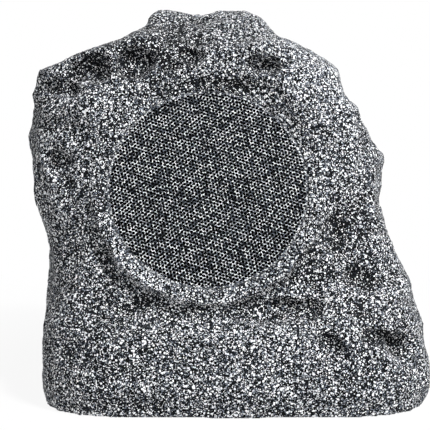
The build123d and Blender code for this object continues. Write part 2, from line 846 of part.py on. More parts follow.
with BuildPart() as gland_locknut:
    with BuildSketch(gland_plane.offset(-niche_wall)):
        RegularPolygon(gland_hex / 2, 6, major_radius=False)
        Circle(gland_thread + fit_gap / 2, mode=Mode.SUBTRACT)
    extrude(amount=-locknut_height)

pieces = {
    "rock_shell": rock_shell,
    "base_plate": base_plate,
    "base_gasket": base_gasket,
    "base_screws": base_screws,
    "grille": grille,
    "grille_scrim": grille_scrim,
    "driver_gasket": driver_gasket,
    "basket": basket,
    "driver_screws": driver_screws,
    "surround": surround,
    "cone": cone,
    "spider": spider,
    "coil_former": coil_former,
    "voice_coil": voice_coil,
    "front_plate": front_plate,
    "magnet": magnet,
    "back_plate": back_plate,
    "terminal_strip": terminal_strip,
    "terminal_tags": terminal_tags,
    "tweeter_post": tweeter_post,
    "post_nut": post_nut,
    "tweeter_cup": tweeter_cup,
    "tweeter_magnet": tweeter_magnet,
    "tweeter_pole": tweeter_pole,
    "tweeter_dome": tweeter_dome,
    "tweeter_ring": tweeter_ring,
    "crossover_board": crossover_board,
    "board_screws": board_screws,
    "inductor_bobbin": inductor_bobbin,
    "inductor_coil": inductor_coil,
    "woofer_capacitor": woofer_capacitor,
    "tweeter_capacitor": tweeter_capacitor,
    "resistor": resistor,
    "input_block": input_block,
    "woofer_leads": woofer_leads,
    "tweeter_lead": tweeter_lead,
    "gland_body": gland_body,
    "gland_seal": gland_seal,
    "gland_cap": gland_cap,
    "gland_locknut": gland_locknut,
}
os.makedirs("parts", exist_ok=True)
for name, piece in pieces.items():
    piece.part.label = name
    export_step(piece.part, f"parts/{name}.step")
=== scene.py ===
import json
import math

import bpy
import numpy as np
from mathutils import Matrix, Vector


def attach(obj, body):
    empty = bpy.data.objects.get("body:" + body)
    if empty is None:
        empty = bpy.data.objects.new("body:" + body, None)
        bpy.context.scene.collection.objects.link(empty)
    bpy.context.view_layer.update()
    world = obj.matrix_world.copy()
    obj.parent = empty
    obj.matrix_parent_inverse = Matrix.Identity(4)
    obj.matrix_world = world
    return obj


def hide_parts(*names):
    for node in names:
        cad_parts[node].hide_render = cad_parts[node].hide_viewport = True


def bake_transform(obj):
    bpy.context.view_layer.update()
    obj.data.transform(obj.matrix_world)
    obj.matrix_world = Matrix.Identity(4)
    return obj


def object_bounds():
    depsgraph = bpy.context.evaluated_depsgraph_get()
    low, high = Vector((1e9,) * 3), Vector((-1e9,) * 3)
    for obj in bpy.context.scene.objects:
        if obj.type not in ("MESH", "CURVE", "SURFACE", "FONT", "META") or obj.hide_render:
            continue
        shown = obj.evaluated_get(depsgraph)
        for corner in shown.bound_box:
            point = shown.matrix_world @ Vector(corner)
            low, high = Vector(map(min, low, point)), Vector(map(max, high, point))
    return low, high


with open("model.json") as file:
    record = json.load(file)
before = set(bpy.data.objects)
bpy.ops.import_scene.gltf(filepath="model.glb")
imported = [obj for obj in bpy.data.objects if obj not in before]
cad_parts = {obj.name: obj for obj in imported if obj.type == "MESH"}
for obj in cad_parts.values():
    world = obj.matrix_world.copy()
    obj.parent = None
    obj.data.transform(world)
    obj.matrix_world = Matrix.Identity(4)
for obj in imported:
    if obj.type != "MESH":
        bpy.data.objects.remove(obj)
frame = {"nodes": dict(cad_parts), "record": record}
cad_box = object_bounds()

bl_info = {
    "name": "Rock garden speaker",
    "version": (1, 0, 0),
    "blender": (4, 5, 0),
    "location": "View3D > Sidebar > Rock speaker",
    "description": "Dresses the solids of a rock shaped garden speaker and lights them as in a studio",
    "category": "Object",
}


def colour(text):
    """Linear colour of an sRGB hex value such as #8a8d92."""
    parts = [int(text[i : i + 2], 16) / 255 for i in (1, 3, 5)]
    return tuple(c / 12.92 if c <= 0.04045 else ((c + 0.055) / 1.055) ** 2.4 for c in parts)


def tint(name, text, says):
    """A colour property with an sRGB hex value as its default."""
    return bpy.props.FloatVectorProperty(
        name=name, description=says, subtype="COLOR", size=3, min=0, max=1, default=colour(text)
    )


def length(name, metres, says):
    """A length property in metres."""
    return bpy.props.FloatProperty(
        name=name, description=says, subtype="DISTANCE", unit="LENGTH", precision=5, default=metres
    )


class RockSpeakerSizes(bpy.types.PropertyGroup):
    """Sizes that shape the dressed pieces."""

    grille_centre: bpy.props.FloatVectorProperty(
        name="Grille middle", description="Middle of the grille's front face", subtype="TRANSLATION",
        unit="LENGTH", default=(-0.0135, -0.094, 0.181),
    )
    grille_lean: bpy.props.FloatProperty(
        name="Grille lean", description="How far the grille leans back", subtype="ANGLE",
        unit="ROTATION", default=math.radians(15),
    )
    grille_radius: length("Grille radius", 0.0835, "Outside of the grille's skirt")
    grille_sheet: length("Sheet", 0.001, "Thickness of the perforated sheet")
    grille_rim: length("Rim", 0.0017, "Width of the plain band round the holes")
    grille_skirt: length("Skirt", 0.0095, "Depth of the grille's turned back edge")
    hole_pitch: length("Hole pitch", 0.003, "Distance between the middles of neighbouring holes")
    hole_width: length("Hole width", 0.0026, "Diameter of a hole, drawn over the real 2 mm so that it shows")
    hole_turn: bpy.props.FloatProperty(
        name="Hole turn", description="How far the rows of holes are turned", subtype="ANGLE",
        unit="ROTATION", default=math.radians(-18),
    )
    sectors: bpy.props.IntProperty(
        name="Sectors", description="Sectors that the surround and the spider are cut into", default=12,
    )
    surround_fixed: length("Surround held", 0.0610, "Radius outside which the surround keeps still")
    surround_moving: length("Surround moved", 0.0537, "Radius inside which the surround goes with the cone")
    spider_fixed: length("Spider held", 0.0352, "Radius outside which the spider keeps still")
    spider_moving: length("Spider moved", 0.0155, "Radius inside which the spider goes with the cone")
    skin: length("Skin", 0.00255, "Edge length of the rock's evened out surface")
    inside_share: bpy.props.FloatProperty(
        name="Faces kept", subtype="FACTOR", min=0, max=1, default=0.73,
        description="Share of the rock's faces left once its unseen inside is made plainer",
    )
    well_radius: length("Well radius", 0.0838, "Inside of the well that the grille drops into")
    niche_radius: length("Niche radius", 0.018, "Inside of the niche round the cable gland")
    niche_height: length("Niche height", 0.042, "Middle of the niche above the floor")
    lump_depth: length("Lumps", 0.002, "Swing of the broad lumps in the rock")
    chip_depth: length("Chips", 0.003, "Swing of the chips in the rock's surface")
    grit_depth: length("Grit", 0.0020, "Swing of the rock's coarse grit")
    # Painted shade: a hollow this deep darkens the granite coat's colour by a whole step
    full_shade_depth: length("Hollows", 0.0045, "Depth of a hollow that thins the sprayed coat by a whole step")


class RockSpeakerColours(bpy.types.PropertyGroup):
    """Colours of the finishes."""

    granite_black: tint("Granite black", "#040506", "Darkest grains of the granite coat")
    granite_slate: tint("Granite slate", "#23272f", "Dark grey grains of the granite coat")
    granite_grey: tint("Granite grey", "#757c87", "Palest grains of the granite coat's ground")
    granite_pale: tint("Granite pale", "#dfe3e8", "Grey flecks of the granite coat")
    granite_white: tint("Granite white", "#ffffff", "White flecks of the granite coat")
    floor: tint("Floor", "#f4f4f4", "Studio floor")


# Forms worked into the rock's front besides the solid's own: place across and up, half width,
# half height and depth in metres. Out of the rock is positive.
rock_forms = (
    # Left shoulder: deeper, ragged pits, and the swellings over and below them
    (-0.074, 0.289, 0.011, 0.010, -0.006),
    (-0.112, 0.283, 0.010, 0.008, -0.004),
    (-0.148, 0.265, 0.012, 0.006, -0.004),
    (-0.062, 0.294, 0.008, 0.010, -0.005),
    (-0.086, 0.280, 0.008, 0.008, -0.004),
    (-0.124, 0.276, 0.010, 0.007, -0.004),
    (-0.128, 0.263, 0.008, 0.006, -0.005),
    (-0.094, 0.290, 0.007, 0.010, 0.003),
    (-0.076, 0.312, 0.012, 0.008, 0.003),
    (-0.112, 0.248, 0.028, 0.013, 0.005),
    (-0.145, 0.244, 0.014, 0.007, 0.004),
    (-0.078, 0.264, 0.010, 0.008, 0.003),
    # Left flank: a ragged edge for its pit
    (-0.146, 0.206, 0.008, 0.008, -0.004),
    (-0.131, 0.186, 0.006, 0.006, -0.004),
    (-0.130, 0.203, 0.008, 0.006, -0.004),
    # Crown: the slot, small hollows beside it, the ridge over it, the dip and the crown's full ends
    (0.034, 0.285, 0.013, 0.005, -0.007),
    (-0.060, 0.326, 0.012, 0.010, 0.005),
    (-0.046, 0.312, 0.013, 0.009, -0.005),
    (-0.020, 0.308, 0.009, 0.008, -0.004),
    (-0.022, 0.334, 0.016, 0.012, -0.006),
    (0.028, 0.324, 0.014, 0.010, 0.004),
    (0.010, 0.266, 0.012, 0.005, -0.005),
    (-0.045, 0.283, 0.010, 0.006, -0.006),
    (-0.032, 0.298, 0.012, 0.009, -0.006),
    (0.035, 0.301, 0.022, 0.007, 0.005),
    (0.000, 0.318, 0.012, 0.008, 0.003),
    (0.076, 0.272, 0.025, 0.025, 0.004),
    # Crease round the grille's lip
    (-0.101, 0.128, 0.007, 0.010, -0.005),
    (-0.058, 0.093, 0.012, 0.006, -0.003),
    (-0.078, 0.084, 0.009, 0.006, -0.003),
    (0.040, 0.087, 0.012, 0.004, -0.004),
    (0.062, 0.086, 0.012, 0.004, -0.004),
    (0.010, 0.082, 0.012, 0.004, -0.003),
    # Foot: its two pits on the right, and its full right edge
    (0.084, 0.062, 0.008, 0.008, -0.004),
    (0.092, 0.055, 0.006, 0.006, -0.004),
    (0.124, 0.066, 0.010, 0.006, -0.008),
    (0.140, 0.059, 0.011, 0.006, -0.010),
    (0.147, 0.053, 0.010, 0.008, -0.010),
    (0.172, 0.022, 0.012, 0.028, 0.004),
    # Right flank: a dip beside the grille, a ragged pit, the ledge under them and the full edge
    (0.154, 0.100, 0.012, 0.024, 0.007),
    (0.094, 0.146, 0.008, 0.016, -0.008),
    (0.104, 0.154, 0.016, 0.022, -0.004),
    (0.113, 0.109, 0.012, 0.010, -0.0035),
    (0.088, 0.096, 0.012, 0.008, 0.005),
    (0.138, 0.090, 0.014, 0.012, 0.004),
)


# Brows that stand forward over the hollows below them, given in the same way
rock_brows = (
    (-0.122, 0.297, 0.028, 0.010, 0.006),
    (-0.076, 0.307, 0.018, 0.009, 0.006),
    (0.032, 0.297, 0.022, 0.007, 0.006),
    (-0.030, 0.304, 0.020, 0.008, 0.005),
)


# Places where shade is painted into the granite coat, or painted light where the amount is below zero:
# place across and up, half width and half height in metres, and that amount in whole steps
painted_light_and_shade_patches = (
    (-0.088, 0.294, 0.042, 0.020, 0.5),
    (-0.040, 0.304, 0.024, 0.022, 0.55),
    (0.082, 0.272, 0.035, 0.030, -0.4),
    (0.108, 0.138, 0.028, 0.036, 0.35),
    (0.125, 0.060, 0.030, 0.022, 0.25),
    (-0.110, 0.055, 0.045, 0.045, 0.25),
    (-0.103, 0.185, 0.008, 0.045, 0.35),
    (-0.015, 0.264, 0.045, 0.008, 0.5),
    (-0.070, 0.108, 0.022, 0.016, -0.4),
    (0.030, 0.055, 0.060, 0.030, -0.2),
)


def add_node(tree, kind, place, links=None, inputs=None, **settings):
    """Adds a node with its settings. Inputs sets its sockets, and links feeds them from other nodes."""
    node = tree.nodes.new(kind)
    node.location = place
    for key, value in settings.items():
        setattr(node, key, value)
    for key, value in (inputs or {}).items():
        node.inputs[key].default_value = value
    for key, socket in (links or {}).items():
        tree.links.new(socket, node.inputs[key])
    return node


def new_material(name):
    """A new material and its node tree, emptied."""
    material = bpy.data.materials.new(name)
    material.use_nodes = True
    material.node_tree.nodes.clear()
    return material, material.node_tree


def per_metre(size):
    """Scale of a pattern that repeats at a spacing in millimetres."""
    return 1000 / size


def wave_scale(size):
    """Scale of a wave pattern whose lines repeat at a spacing in millimetres."""
    # A wave's angle grows this many times as fast as its scaled place
    wave_pace = 20
    return per_metre(size) * math.tau / wave_pace


def granite_coat(name, colours, ground, layers):
    """Speckled granite coat in matt resin: grains from black to grey with white flecks strewn over them.

    Shade is painted into the coat where the rock's 'hollow' attribute is high, in hollows and on listed
    patches:
    the ground is darker and the flecks smaller there; below zero, on crests and pale patches, light is
    painted.
    Ground gives the stops of the grains' ramp. Each layer of flecks gives their spacing in millimetres, and
    the slope and offset of their reach by chance. The finest specks of such a spray are too fine to show, so
    the grains are drawn at 0.85 mm.
    """
    grain_size = 0.85
    patch_size = 9
    patch_share = 0.2
    ripple_size = 1.3
    ripple_reach = 0.0009
    painted_shade_share = -0.17
    material, tree = new_material(name)
    place = add_node(tree, "ShaderNodeTexCoord", (-1800, 0)).outputs["Object"]
    ripple = add_node(
        tree, "ShaderNodeTexNoise", (-1600, -200), {"Vector": place},
        {"Scale": per_metre(ripple_size), "Detail": 2.0},
    )
    ragged = add_node(
        tree, "ShaderNodeVectorMath", (-1400, 0), {0: ripple.outputs["Color"], 2: place},
        {1: (ripple_reach, ripple_reach, ripple_reach)}, operation="MULTIPLY_ADD",
    ).outputs[0]
    # Painted light and shade that the rock carries in its 'hollow' attribute
    hollow = add_node(tree, "ShaderNodeAttribute", (-1600, 700), attribute_name="hollow").outputs["Fac"]
    grains = add_node(
        tree, "ShaderNodeTexVoronoi", (-1200, 400), {"Vector": ragged}, {"Scale": per_metre(grain_size)},
    )
    shade = add_node(tree, "ShaderNodeSeparateColor", (-1000, 400), {"Color": grains.outputs["Color"]})
    patches = add_node(
        tree, "ShaderNodeTexNoise", (-1200, 700), {"Vector": place},
        {"Scale": per_metre(patch_size), "Detail": 2.0},
    )
    mixed = add_node(
        tree, "ShaderNodeMath", (-800, 500), {0: patches.outputs["Fac"], 2: shade.outputs["Red"]},
        {1: patch_share}, operation="MULTIPLY_ADD",
    )
    # Painted shade: the ground darkens where the attribute is high, and painted light makes it paler where
    # it is below zero
    shaded_ground = add_node(
        tree, "ShaderNodeMath", (-700, 700), {0: hollow, 2: mixed.outputs[0]}, {1: painted_shade_share},
        operation="MULTIPLY_ADD",
    )
    ramp = add_node(tree, "ShaderNodeValToRGB", (-600, 400), {"Fac": shaded_ground.outputs[0]})
    stops = ramp.color_ramp
    stops.elements[0].position = ground[0]
    stops.elements[0].color = (*colours.granite_black, 1)
    stops.elements[1].position = ground[2]
    stops.elements[1].color = (*colours.granite_grey, 1)
    stops.elements.new(ground[1]).color = (*colours.granite_slate, 1)
    coat = ramp.outputs["Color"]
    for number, layer in enumerate(layers):
        coat = strew_flecks(tree, 300 * number - 600, layer, ragged, hollow, coat, colours)
    bump = add_node(
        tree, "ShaderNodeBump", (400, -250), {"Height": shade.outputs["Green"]},
        {"Strength": 0.5, "Distance": 0.0004},
    )
    skin = add_node(
        tree, "ShaderNodeBsdfPrincipled", (600, 0), {"Base Color": coat, "Normal": bump.outputs["Normal"]},
        {"Roughness": 0.7, "IOR": 1.5, "Specular IOR Level": 0.08},
    )
    add_node(tree, "ShaderNodeOutputMaterial", (900, 0), {"Surface": skin.outputs["BSDF"]})
    return material


def strew_flecks(tree, x, layer, place, hollow, coat, colours):
    """Strews one layer of flecks over a coat, smaller ones in hollows as painted shade, and gives the new
    coat's colour.
    """
    painted_shade_share = -0.13
    spacing, slope, offset = layer
    flecks = add_node(
        tree, "ShaderNodeTexVoronoi", (x - 600, -200), {"Vector": place}, {"Scale": per_metre(spacing)},
    )
    chance = add_node(tree, "ShaderNodeSeparateColor", (x - 400, -200), {"Color": flecks.outputs["Color"]})
    reach = add_node(
        tree, "ShaderNodeMath", (x - 200, -100), {0: chance.outputs["Red"]}, {1: slope, 2: offset},
        operation="MULTIPLY_ADD",
    )
    # Painted shade: the flecks shrink where the attribute is high, and painted light makes them larger where
    # it is below zero
    shaded_reach = add_node(
        tree, "ShaderNodeMath", (x - 100, -100), {0: hollow, 2: reach.outputs[0]}, {1: painted_shade_share},
        operation="MULTIPLY_ADD",
    )
    fleck = add_node(
        tree, "ShaderNodeMath", (x, -200), {0: flecks.outputs["Distance"], 1: shaded_reach.outputs[0]},
        operation="LESS_THAN",
    )
    pale = add_node(
        tree, "ShaderNodeMix", (x, 0), {"Factor": chance.outputs["Green"]},
        {6: (*colours.granite_pale, 1), 7: (*colours.granite_white, 1)}, data_type="RGBA",
    )
    return add_node(
        tree, "ShaderNodeMix", (x + 200, 150), {"Factor": fleck.outputs[0], 6: coat, 7: pale.outputs[2]},
        data_type="RGBA",
    ).outputs[2]


def pattern_marks(tree, pattern, size, place):
    """Strength of a grain, cells, weave, rings or bands with a size in millimetres."""
    where = {"Vector": place}
    if pattern == "grain":
        scale = {"Scale": per_metre(size), "Detail": 3.0}
        return add_node(tree, "ShaderNodeTexNoise", (-900, 0), where, scale).outputs["Fac"]
    if pattern == "cells":
        scale = {"Scale": per_metre(size)}
        return add_node(tree, "ShaderNodeTexVoronoi", (-900, 0), where, scale).outputs["Distance"]
    if pattern == "weave":
        scale = {"Scale": wave_scale(size), "Distortion": 0.6, "Detail": 1.0}
        warp = add_node(tree, "ShaderNodeTexWave", (-900, 150), where, scale, bands_direction="X")
        weft = add_node(tree, "ShaderNodeTexWave", (-900, -150), where, scale, bands_direction="Y")
        threads = {0: warp.outputs["Fac"], 1: weft.outputs["Fac"]}
        return add_node(tree, "ShaderNodeMath", (-700, 0), threads, operation="MULTIPLY").outputs[0]
    scale = {"Scale": wave_scale(size), "Distortion": 0.4, "Detail": 2.0}
    return add_node(
        tree, "ShaderNodeTexWave", (-900, 0), where, scale,
        wave_type="RINGS" if pattern == "rings" else "BANDS", bands_direction="Z", rings_direction="Z",
    ).outputs["Fac"]


def finish(name, text, roughness, size, pattern="grain", depth=0.0001, metallic=0.0, spread=0.25, gloss=0.5,
           middle=(0, 0, 0), turn=0.0):
    """A finish whose colour, gloss and bump follow one pattern with a size in millimetres.

    The pattern may be centred on a place and turned to face forward.
    """
    duller, glossier = 1.2, 0.85
    material, tree = new_material(name)
    place = add_node(tree, "ShaderNodeTexCoord", (-1300, 0))
    facing = add_node(
        tree, "ShaderNodeMapping", (-1100, 0), {"Vector": place.outputs["Object"]},
        {"Location": middle, "Rotation": (turn, 0, 0)}, vector_type="TEXTURE",
    )
    marks = pattern_marks(tree, pattern, size, facing.outputs[0])
    base = colour(text)
    ramp = add_node(tree, "ShaderNodeValToRGB", (-500, 150), {"Fac": marks})
    ramp.color_ramp.elements[0].position = 0.25
    ramp.color_ramp.elements[0].color = (*[c * (1 - spread) for c in base], 1)
    ramp.color_ramp.elements[1].position = 0.75
    ramp.color_ramp.elements[1].color = (*[min(1, c * (1 + spread)) for c in base], 1)
    wear = add_node(
        tree, "ShaderNodeMapRange", (-500, -150), {"Value": marks},
        {"To Min": min(1, roughness * duller), "To Max": roughness * glossier},
    )
    bump = add_node(
        tree, "ShaderNodeBump", (-300, -350), {"Height": marks}, {"Strength": 0.5, "Distance": depth},
    )
    looks = {
        "Base Color": ramp.outputs["Color"],
        "Roughness": wear.outputs["Result"],
        "Normal": bump.outputs["Normal"],
    }
    skin = add_node(
        tree, "ShaderNodeBsdfPrincipled", (0, 0), looks, {"Metallic": metallic, "Specular IOR Level": gloss},
    )
    add_node(tree, "ShaderNodeOutputMaterial", (300, 0), {"Surface": skin.outputs["BSDF"]})
    return material


def seen_rays(tree):
    """1 for the camera's own rays and those that it sends by way of a mirror or glass, 0 for light."""
    rays = add_node(tree, "ShaderNodeLightPath", (-1400, -300))
    seen = rays.outputs["Is Camera Ray"]
    for name, x in (("Is Glossy Ray", -1200), ("Is Transmission Ray", -1000)):
        seen = add_node(
            tree, "ShaderNodeMath", (x, -300), {0: seen, 1: rays.outputs[name]}, operation="MAXIMUM",
        ).outputs[0]
    return seen


def pick(piece):
    """Deselects everything and makes one piece the active one."""
    if bpy.context.object and bpy.context.object.mode != "OBJECT":
        bpy.ops.object.mode_set(mode="OBJECT")
    bpy.ops.object.select_all(action="DESELECT")
    piece.select_set(True)
    bpy.context.view_layer.objects.active = piece


def modify(piece, name, kind, **settings):
    """Adds a modifier and applies it."""
    pick(piece)
    modifier = piece.modifiers.new(name, kind)
    for key, value in settings.items():
        setattr(modifier, key, value)
    bpy.ops.object.modifier_apply(modifier=name)


def choose_faces(piece, chosen):
    """Selects some faces of a piece and leaves it in edit mode."""
    pick(piece)
    bpy.ops.object.mode_set(mode="EDIT")
    bpy.ops.mesh.select_mode(type="FACE")
    bpy.ops.mesh.select_all(action="DESELECT")
    bpy.ops.object.mode_set(mode="OBJECT")
    piece.data.polygons.foreach_set("select", chosen)
    bpy.ops.object.mode_set(mode="EDIT")


def dress(piece, material):
    """Gives a piece one material."""
    piece.data.materials.clear()
    piece.data.materials.append(material)


def copy_node(node, name):
    """A new piece with its own copy of a CAD node's mesh, in edit mode with its loose triangles merged."""
    merge = 0.00001
    piece = bpy.data.objects.new(name, frame["nodes"][node].data.copy())
    bpy.context.collection.objects.link(piece)
    pick(piece)
    bpy.ops.object.mode_set(mode="EDIT")
    bpy.ops.mesh.select_all(action="SELECT")
    bpy.ops.mesh.remove_doubles(threshold=merge)
    return piece


def grille_place(sizes):
    """Turns the grille's own axes, front face up, into its place in the rock."""
    return Matrix.Translation(sizes.grille_centre) @ Matrix.Rotation(math.pi / 2 - sizes.grille_lean, 4, "X")


def vertex_places(piece):
    """The places of a piece's vertices as rows of numbers."""
    rows = np.empty(len(piece.data.vertices) * 3)
    piece.data.vertices.foreach_get("co", rows)
    return rows.reshape(-1, 3)


def vertex_normals(piece):
    """The normals of a piece's vertices as rows of numbers."""
    rows = np.empty(len(piece.data.vertices) * 3)
    piece.data.vertex_normals.foreach_get("vector", rows)
    return rows.reshape(-1, 3)


def move_vertices(piece, points):
    """Puts a piece's vertices at new places."""
    piece.data.vertices.foreach_set("co", points.ravel())
    piece.data.update()


def seen_from(place, points):
    """Points in the axes of a place."""
    back = np.array(place.inverted())
    return points @ back[:3, :3].T + back[:3, 3]


def weigh(piece, name, weights):
    """Adds a vertex group with a weight for each vertex that has one."""
    least = 0.001
    group = piece.vertex_groups.new(name=name)
    for index, weight in enumerate(weights.tolist()):
        if weight > least:
            group.add([index], min(weight, 1.0), "REPLACE")


def bulge(points, across, up, half_width, half_height):
    """A round bulge seen from the front: 1 in its middle, falling away to 0 about it."""
    return np.exp(-(((points[:, 0] - across) / half_width) ** 2) - ((points[:, 2] - up) / half_height) ** 2)


def outer_skin(piece, points, normals):
    """1 for each vertex that looks out of a hollow piece, 0 for one that looks across its inside."""
    lift = 0.001
    far = 0.06
    out = np.ones(len(points))
    for index, (point, normal) in enumerate(zip(points.tolist(), normals.tolist())):
        start = Vector(point) + Vector(normal) * lift
        hit, place, *_ = piece.ray_cast(start, Vector(normal))
        if hit and (place - start).length > far:
            out[index] = 0
    return out


def free_skin(points, seen, out, sizes):
    """1 where the rock may be worked, fading to 0 at its foot, the grille's well and the gland's niche."""
    well_reach = 0.04
    niche_front = 0.08
    fade = 0.004
    foot = 0.001
    foot_fade = 0.006
    from_axis = np.hypot(seen[:, 0], seen[:, 1]) - sizes.well_radius
    from_well = np.maximum(from_axis, np.abs(seen[:, 2]) - well_reach)
    gland_x = np.mean([vertex.co.x for vertex in frame["nodes"]["gland_cap"].data.vertices])
    from_niche = np.hypot(points[:, 0] - gland_x, points[:, 2] - sizes.niche_height) - sizes.niche_radius
    from_niche[points[:, 1] <= niche_front] = 1
    free = np.clip(np.minimum(from_well, from_niche) / fade, 0, 1)
    return out * np.minimum(free, np.clip((points[:, 2] - foot) / foot_fade, 0, 1))


def work_forms(rock, points, normals, free):
    """Works the hollows, the swellings and the brows into the rock's front."""
    stroke = 0.02
    side = 0.2
    hollows = [form for form in rock_forms if form[-1] < 0]
    swells = [form for form in rock_forms if form[-1] > 0]
    for name, forms, direction, strength in (
        ("hollows", hollows, "NORMAL", -stroke),
        ("swells", swells, "NORMAL", stroke),
        ("brows", rock_brows, "Y", -stroke),
    ):
        depths = np.zeros(len(points))
        for across, up, half_width, half_height, depth in forms:
            depths += abs(depth) * bulge(points, across, up, half_width, half_height)
        weigh(rock, name, free * depths * (normals[:, 1] < side) / stroke)
        modify(
            rock, name, "DISPLACE", direction=direction, strength=strength, mid_level=0, vertex_group=name,
        )


def roughen(rock, sizes):
    """Works broad lumps, chips and grit into the rock's outside."""
    still_level = 0.7
    for name, kind, size, swing in (
        ("lumps", "CLOUDS", 0.045, sizes.lump_depth),
        ("chips", "VORONOI", 0.022, sizes.chip_depth),
        ("grit", "CLOUDS", 0.0065, sizes.grit_depth),
    ):
        texture = bpy.data.textures.new(name, kind)
        texture.noise_scale = size
        modify(
            rock, name, "DISPLACE", texture=texture, texture_coords="LOCAL", strength=swing,
            mid_level=still_level, vertex_group="worn",
        )


def true_well(rock, seen, sizes):
    """Draws the wall of the grille's well onto a true cylinder."""
    sides = 160
    beside = 0.7 * sizes.skin
    above = 0.5 * sizes.skin
    place = grille_place(sizes)
    bpy.ops.object.select_all(action="DESELECT")
    bpy.ops.mesh.primitive_cylinder_add(
        vertices=sides, radius=sizes.well_radius, depth=sizes.grille_skirt, end_fill_type="NOTHING",
        location=place @ Vector((0, 0, -sizes.grille_skirt / 2)), rotation=place.to_euler(),
    )
    gauge = bpy.context.object
    wall = np.abs(np.hypot(seen[:, 0], seen[:, 1]) - sizes.well_radius) < beside
    wall &= (seen[:, 2] > -sizes.grille_skirt) & (seen[:, 2] < above)
    weigh(rock, "well edge", wall.astype(float))
    modify(
        rock, "true well", "SHRINKWRAP", target=gauge, wrap_method="NEAREST_SURFACEPOINT",
        vertex_group="well edge",
    )
    bpy.data.objects.remove(gauge)


def sunk(piece, rounds):
    """How far each vertex of a piece lies below the surface round it, in metres."""
    start, normals = vertex_places(piece), vertex_normals(piece)
    pairs = np.empty(len(piece.data.edges) * 2, dtype=np.int32)
    piece.data.edges.foreach_get("vertices", pairs)
    one, two = pairs[::2], pairs[1::2]
    count = len(start)
    neighbours = np.maximum(np.bincount(pairs, minlength=count), 1)[:, None]
    points = start
    for _ in range(rounds):
        total = [
            np.bincount(one, points[two, axis], count) + np.bincount(two, points[one, axis], count)
            for axis in range(3)
        ]
        points = (points + np.stack(total, 1) / neighbours) / 2
    return ((points - start) * normals).sum(1)


def paint_light_and_shade(rock, out, normals, sizes):
    """Writes the painted light and shade at each vertex: shade in hollows, light on crests, and both on the
    front's patches.
    """
    rounds = 40
    # Limits of the painted light on crests, of the painted shade in hollows, and of all painted shade
    crest_light, thin, deepest_shade = -0.25, 0.4, 0.6
    side, side_fade = 0.35, 0.4
    points = vertex_places(rock)
    # Painted shade in hollows and painted light on crests, from each vertex's depth below the skin round it
    amounts = np.clip(out * sunk(rock, rounds) / sizes.full_shade_depth, crest_light, thin)
    front = np.clip((side - normals[:, 1]) / side_fade, 0, 1)
    # Painted shade, or painted light where the amount is below zero, on the front's patches
    for across, up, half_width, half_height, amount in painted_light_and_shade_patches:
        amounts += amount * front * bulge(points, across, up, half_width, half_height)
    hollow = rock.data.attributes.new("hollow", "FLOAT", "POINT")
    hollow.data.foreach_set("value", np.minimum(amounts, deepest_shade))


class ROCKSPEAKER_OT_rock(bpy.types.Operator):
    """Evens out the rock shell's surface and works forms, lumps, chips and grit into it"""

    bl_idname = "rockspeaker.rock"
    bl_label = "Granite rock"

    def execute(self, context):
        sizes = context.scene.rock_speaker_sizes
        rock = copy_node("rock_shell", "granite_rock")
        modify(rock, "even skin", "REMESH", mode="VOXEL", voxel_size=sizes.skin)
        points, normals = vertex_places(rock), vertex_normals(rock)
        seen = seen_from(grille_place(sizes), points)
        out = outer_skin(rock, points, normals)
        free = free_skin(points, seen, out, sizes)
        weigh(rock, "worn", free)
        weigh(rock, "inside", 1 - out)
        modify(rock, "worn edges", "SMOOTH", factor=0.5, iterations=3, vertex_group="worn")
        work_forms(rock, points, normals, free)
        roughen(rock, sizes)
        true_well(rock, seen, sizes)
        move_vertices(rock, np.clip(vertex_places(rock), cad_box[0], cad_box[1]))
        paint_light_and_shade(rock, out, normals, sizes)
        modify(rock, "plain inside", "DECIMATE", ratio=sizes.inside_share, vertex_group="inside")
        bpy.ops.object.shade_smooth()
        dress(rock, bpy.data.materials["speckled granite coat"])
        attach(rock, "cabinet")
        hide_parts("rock_shell")
        return {"FINISHED"}


def perforated_sheet(sizes):
    """The grille's flat sheet of round holes, cut to a disc, in the grille's own axes."""
    hole_sides = 12
    pitch = sizes.hole_pitch
    radius = sizes.grille_radius - sizes.grille_sheet / 2
    row = pitch * math.sqrt(3) / 2
    columns = math.ceil(2 * radius / pitch) + 2
    rows = math.ceil(radius / row) + 2
    corner = (-columns / 2 * pitch, -rows * row, 0)
    bpy.ops.object.select_all(action="DESELECT")
    bpy.ops.mesh.primitive_circle_add(vertices=6, radius=pitch / math.sqrt(3), location=(0, 0, 0))
    sheet = bpy.context.object
    sheet.name = "perforated_grille"
    bpy.ops.object.mode_set(mode="EDIT")
    bpy.ops.mesh.primitive_circle_add(vertices=hole_sides, radius=sizes.hole_width / 2, location=(0, 0, 0))
    bpy.ops.mesh.select_all(action="SELECT")
    bpy.ops.mesh.bridge_edge_loops()
    bpy.ops.mesh.select_all(action="SELECT")
    bpy.ops.mesh.duplicate_move(TRANSFORM_OT_translate={"value": (pitch / 2, row, 0)})
    bpy.ops.mesh.select_all(action="SELECT")
    bpy.ops.transform.translate(value=corner)
    bpy.ops.object.mode_set(mode="OBJECT")
    for name, count, step in (("columns", columns, (pitch, 0, 0)), ("rows", rows, (0, 2 * row, 0))):
        modify(
            sheet, name, "ARRAY", count=count, use_relative_offset=False, use_constant_offset=True,
            constant_offset_displace=step,
        )
    points = vertex_places(sheet)
    reach = np.hypot(points[:, 0], points[:, 1])
    beyond = reach > radius
    points[beyond, :2] *= (radius / reach[beyond])[:, None]
    move_vertices(sheet, points)
    choose_faces(sheet, [all(beyond[index] for index in face.vertices) for face in sheet.data.polygons])
    bpy.ops.mesh.delete(type="FACE")
    bpy.ops.mesh.select_all(action="SELECT")
    bpy.ops.mesh.remove_doubles(threshold=pitch / 100)
    bpy.ops.mesh.normals_make_consistent(inside=False)
    bpy.ops.mesh.extrude_region_move(TRANSFORM_OT_translate={"value": (0, 0, -sizes.grille_sheet)})
    bpy.ops.object.mode_set(mode="OBJECT")
    return sheet


